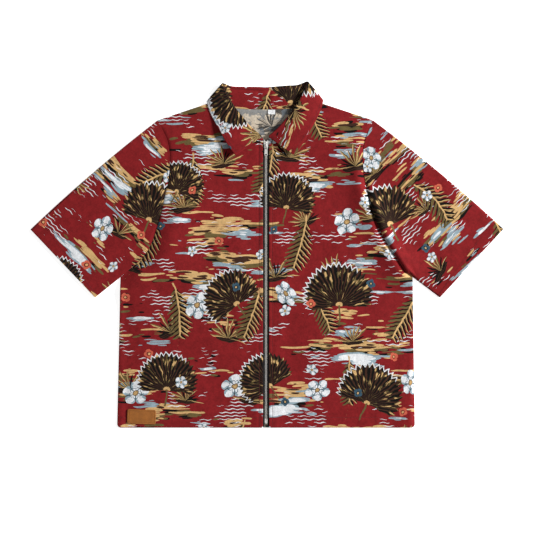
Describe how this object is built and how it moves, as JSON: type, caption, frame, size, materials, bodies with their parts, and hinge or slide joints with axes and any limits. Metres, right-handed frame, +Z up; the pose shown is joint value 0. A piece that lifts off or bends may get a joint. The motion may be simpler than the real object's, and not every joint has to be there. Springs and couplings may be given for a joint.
{
  "type": "zip-front short-sleeved shirt",
  "caption": "Boxy short-sleeved shirt with a fold-over collar and a zip front, laid flat on its back.",
  "frame": {"origin": "on the surface that the shirt lies on, under the middle of its outline", "axes": "+X towards the wearer's left, across the sleeves; +Y from the hem to the collar; +Z up off the surface"},
  "size_m": [0.942, 0.6921, 0.0141],
  "materials": {
    "printed_cotton": "matt printed woven cotton on a brick red ground",
    "zip_tape": "black woven tape",
    "zip_nickel": "satin nickel",
    "patch_leather": "tan, matt",
    "label_satin": "white woven satin"
  },
  "bodies": {
    "shirt": {"back": "printed_cotton", "front_wearer_left": "printed_cotton", "front_wearer_right": "printed_cotton", "sleeve_wearer_left": "printed_cotton", "sleeve_wearer_right": "printed_cotton", "collar": "printed_cotton", "zip_tape_wearer_left": "zip_tape", "zip_tape_wearer_right": "zip_tape", "zip_chain": "zip_nickel", "zip_box": "zip_nickel", "zip_slider": "zip_nickel", "leather_patch": "patch_leather", "size_label": "label_satin"},
    "zip_pull": {"zip_pull_tab": "zip_nickel"}
  },
  "joints": [
    {"name": "zip_pull_hinge", "type": "hinge", "parent": "shirt", "child": "zip_pull", "pos_m": [0, 0.2205, 0.0075], "axis": [-1, 0, 0], "range_deg": [0, 175]}
  ]
}
